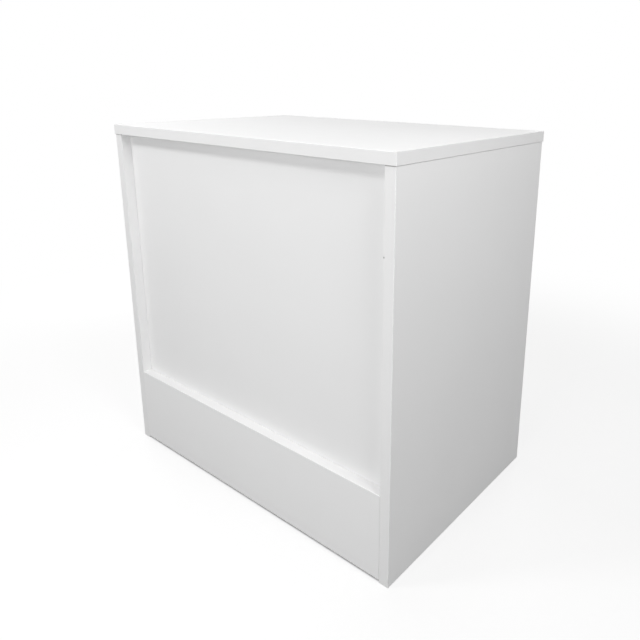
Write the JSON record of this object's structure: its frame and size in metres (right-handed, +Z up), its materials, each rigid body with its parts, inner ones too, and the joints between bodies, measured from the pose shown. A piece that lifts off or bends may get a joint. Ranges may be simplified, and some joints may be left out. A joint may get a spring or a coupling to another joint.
{
  "type": "shop counter",
  "caption": "White board shop counter with a plain recessed front, a kickboard flush with its sides, a flat worktop and an open staff side with an adjustable shelf.",
  "frame": {"origin": "on the floor under the middle of the counter", "axes": "+Z up; -Y is the customer's closed front; +Y is the open staff side; +X is to the right as the customer sees it"},
  "size_m": [0.904, 0.6, 0.9],
  "materials": {
    "white_board": "white melamine faces on chipboard, smooth and satin",
    "white_edging": "white plastic edging strip, satin, with rounded arrises",
    "cast_zinc": "die-cast zinc, dull silver",
    "plated_steel": "bright plated steel",
    "beech": "plain turned beech"
  },
  "bodies": {
    "carcass": {"top_board": "white_board", "left_side_panel": "white_board", "right_side_panel": "white_board", "front_panel": "white_board", "kickboard": "white_board", "base_board": "white_board", "rear_plinth": "white_board", "top_front_edging": "white_edging", "top_rear_edging": "white_edging", "top_left_edging": "white_edging", "top_right_edging": "white_edging", "left_front_edging": "white_edging", "left_rear_edging": "white_edging", "left_bottom_edging": "white_edging", "right_front_edging": "white_edging", "right_rear_edging": "white_edging", "right_bottom_edging": "white_edging", "kickboard_top_edging": "white_edging", "kickboard_bottom_edging": "white_edging", "base_rear_edging": "white_edging", "plinth_bottom_edging": "white_edging", "top_cams": "cast_zinc", "top_cam_bolts": "plated_steel", "top_dowels": "beech", "front_cams": "cast_zinc", "front_cam_bolts": "plated_steel", "front_dowels": "beech", "base_cams": "cast_zinc", "base_cam_bolts": "plated_steel", "base_dowels": "beech", "plinth_cams": "cast_zinc", "plinth_cam_bolts": "plated_steel", "plinth_dowels": "beech", "kickboard_screws": "plated_steel", "shelf_pins": "plated_steel"},
    "shelf": {"adjustable_shelf": "white_board", "shelf_front_edging": "white_edging", "shelf_rear_edging": "white_edging", "shelf_left_edging": "white_edging", "shelf_right_edging": "white_edging"}
  },
  "joints": [
    {"name": "shelf_slide", "type": "slide", "parent": "carcass", "child": "shelf", "axis": [0, 1, 0], "range_m": [-0.0025, 0.55]}
  ]
}
